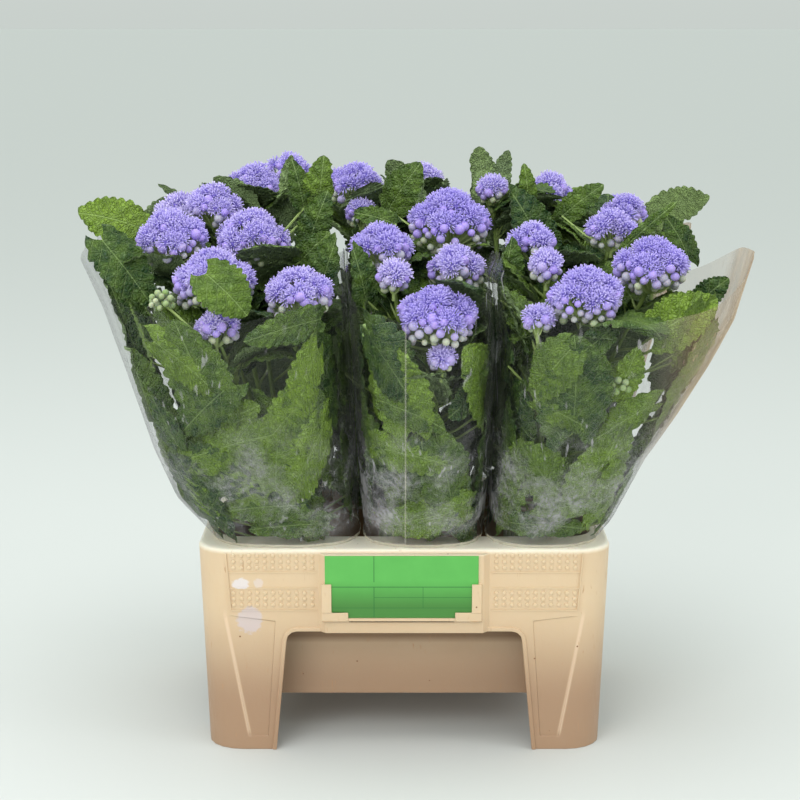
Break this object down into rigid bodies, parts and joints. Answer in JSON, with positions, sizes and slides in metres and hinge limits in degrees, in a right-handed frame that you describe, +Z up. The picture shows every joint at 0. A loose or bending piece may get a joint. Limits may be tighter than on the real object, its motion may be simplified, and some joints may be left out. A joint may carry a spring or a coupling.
{
  "type": "ageratum bunches in a flower container",
  "caption": "Cut ageratum in clear film sleeves, standing in water in a moulded flower container on four corner legs, with a card pocket on its front.",
  "frame": {"origin": "on the floor, under the middle of the container", "axes": "+X along the container's long side, to the right seen from the card's side, and +Z up"},
  "size_m": [0.6528, 0.4634, 0.5605],
  "materials": {
    "container": "satin",
    "card": "matte",
    "water": "clear",
    "film": "clear",
    "leaf": "satin",
    "floret": "matte",
    "band": "matte"
  },
  "bodies": {
    "root": {"container": "container", "card": "card", "water": "water", "sleeve_front_left": "film", "foliage_front_left": "leaf", "band_front_left": "band", "head_front_left_1": "floret", "head_front_left_2": "floret", "head_front_left_3": "floret", "head_front_left_4": "floret", "head_front_left_5": "floret", "head_front_left_6": "floret", "sleeve_front_middle": "film", "foliage_front_middle": "leaf", "band_front_middle": "band", "head_front_middle_1": "floret", "head_front_middle_2": "floret", "head_front_middle_3": "floret", "head_front_middle_4": "floret", "head_front_middle_5": "floret", "head_front_middle_6": "floret", "sleeve_front_right": "film", "foliage_front_right": "leaf", "band_front_right": "band", "head_front_right_1": "floret", "head_front_right_2": "floret", "head_front_right_3": "floret", "head_front_right_4": "floret", "head_front_right_5": "floret", "head_front_right_6": "floret", "sleeve_back_right": "film", "foliage_back_right": "leaf", "band_back_right": "band", "head_back_right_1": "floret", "head_back_right_2": "floret", "head_back_right_3": "floret", "head_back_right_4": "floret", "head_back_right_5": "floret", "head_back_right_6": "floret", "sleeve_back_middle": "film", "foliage_back_middle": "leaf", "band_back_middle": "band", "head_back_middle_1": "floret", "head_back_middle_2": "floret", "head_back_middle_3": "floret", "head_back_middle_4": "floret", "head_back_middle_5": "floret", "head_back_middle_6": "floret", "sleeve_back_left": "film", "foliage_back_left": "leaf", "band_back_left": "band", "head_back_left_1": "floret", "head_back_left_2": "floret", "head_back_left_3": "floret", "head_back_left_4": "floret", "head_back_left_5": "floret", "head_back_left_6": "floret"}
  },
  "joints": []
}
